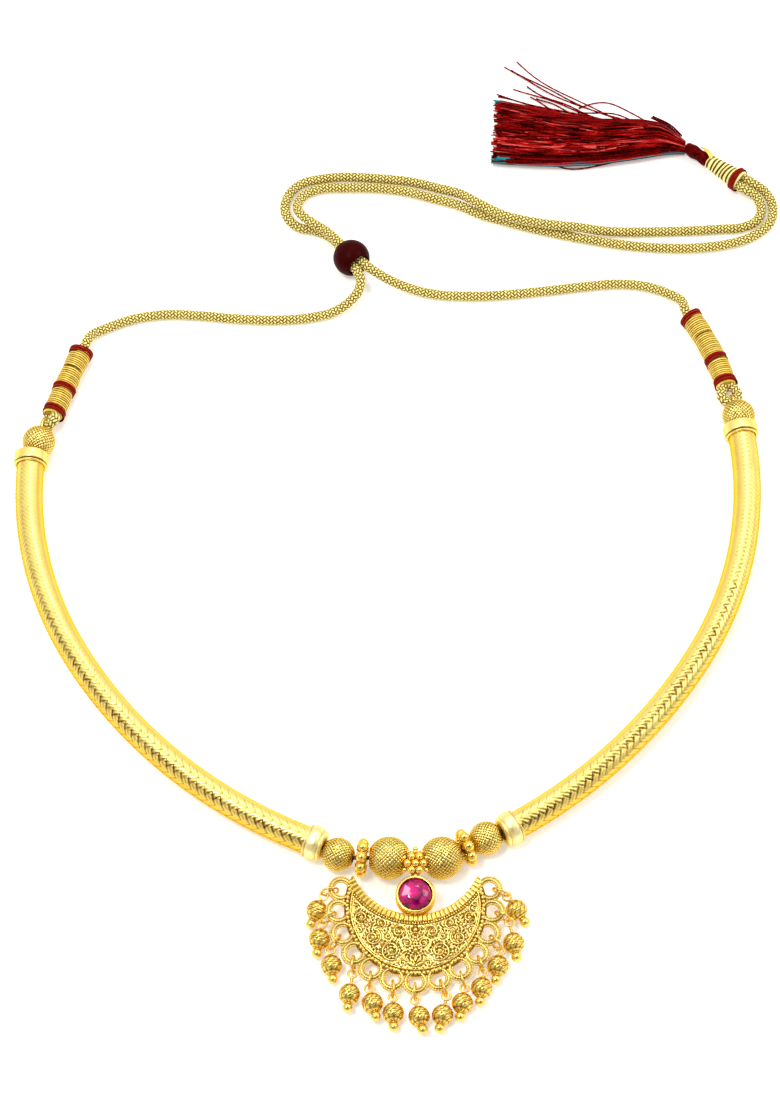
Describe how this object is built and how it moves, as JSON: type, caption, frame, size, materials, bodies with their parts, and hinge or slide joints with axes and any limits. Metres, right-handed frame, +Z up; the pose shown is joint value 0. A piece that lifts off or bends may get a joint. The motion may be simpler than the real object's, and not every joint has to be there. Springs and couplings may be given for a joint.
{
  "type": "temple necklace",
  "caption": "Gold-coloured temple necklace with engraved neck tubes, granulated beads, a crescent pendant with ball drops, and a braided back cord with a sliding bead and a silk tassel.",
  "frame": {"origin": "middle of the neck opening, on the surface that the necklace lies on", "axes": "+X across the neck opening towards the tube drawn on the right, +Y from the pendant towards the tassel, +Z up from the surface"},
  "size_m": [0.1499, 0.2047, 0.0081],
  "materials": {
    "gold": "polished and engraved, gold plated",
    "pale_gold": "polished, gold plated",
    "zari": "metallic gold thread",
    "silk": "silk thread",
    "red_thread": "silk thread",
    "slider": "close wound silk thread",
    "ruby": "faceted, foil backed"
  },
  "bodies": {
    "root": {"tube_left": "gold", "tube_right": "gold", "front_cap_left": "pale_gold", "front_cap_right": "pale_gold", "back_cap_left": "pale_gold", "back_cap_right": "pale_gold", "back_bead_left": "gold", "back_bead_right": "gold", "small_bead_left": "gold", "small_bead_right": "gold", "flower_spacer_left": "gold", "flower_spacer_right": "gold", "large_bead_left": "gold", "large_bead_right": "gold", "pendant": "gold", "ruby": "ruby", "stringing_thread": "silk", "end_loop_left": "zari", "end_loop_right": "zari", "binding_left": "zari", "binding_right": "zari", "red_bands_left": "red_thread", "red_bands_right": "red_thread", "cord_left": "zari", "cord_right": "zari", "slider_bead": "slider", "tassel_binding": "zari", "tassel_red_band": "red_thread", "tassel_neck": "silk", "tassel_skirt": "silk", "drop_ring_01": "gold", "drop_ring_02": "gold", "drop_ring_03": "gold", "drop_ring_04": "gold", "drop_ring_05": "gold", "drop_ring_06": "gold", "drop_ring_07": "gold", "drop_ring_08": "gold", "drop_ring_09": "gold", "drop_ring_10": "gold", "drop_ring_11": "gold", "drop_ring_12": "gold", "drop_ring_13": "gold", "drop_bead_01": "gold", "drop_bead_02": "gold", "drop_bead_03": "gold", "drop_bead_04": "gold", "drop_bead_05": "gold", "drop_bead_06": "gold", "drop_bead_07": "gold", "drop_bead_08": "gold", "drop_bead_09": "gold", "drop_bead_10": "gold", "drop_bead_11": "gold", "drop_bead_12": "gold", "drop_bead_13": "gold"}
  },
  "joints": []
}
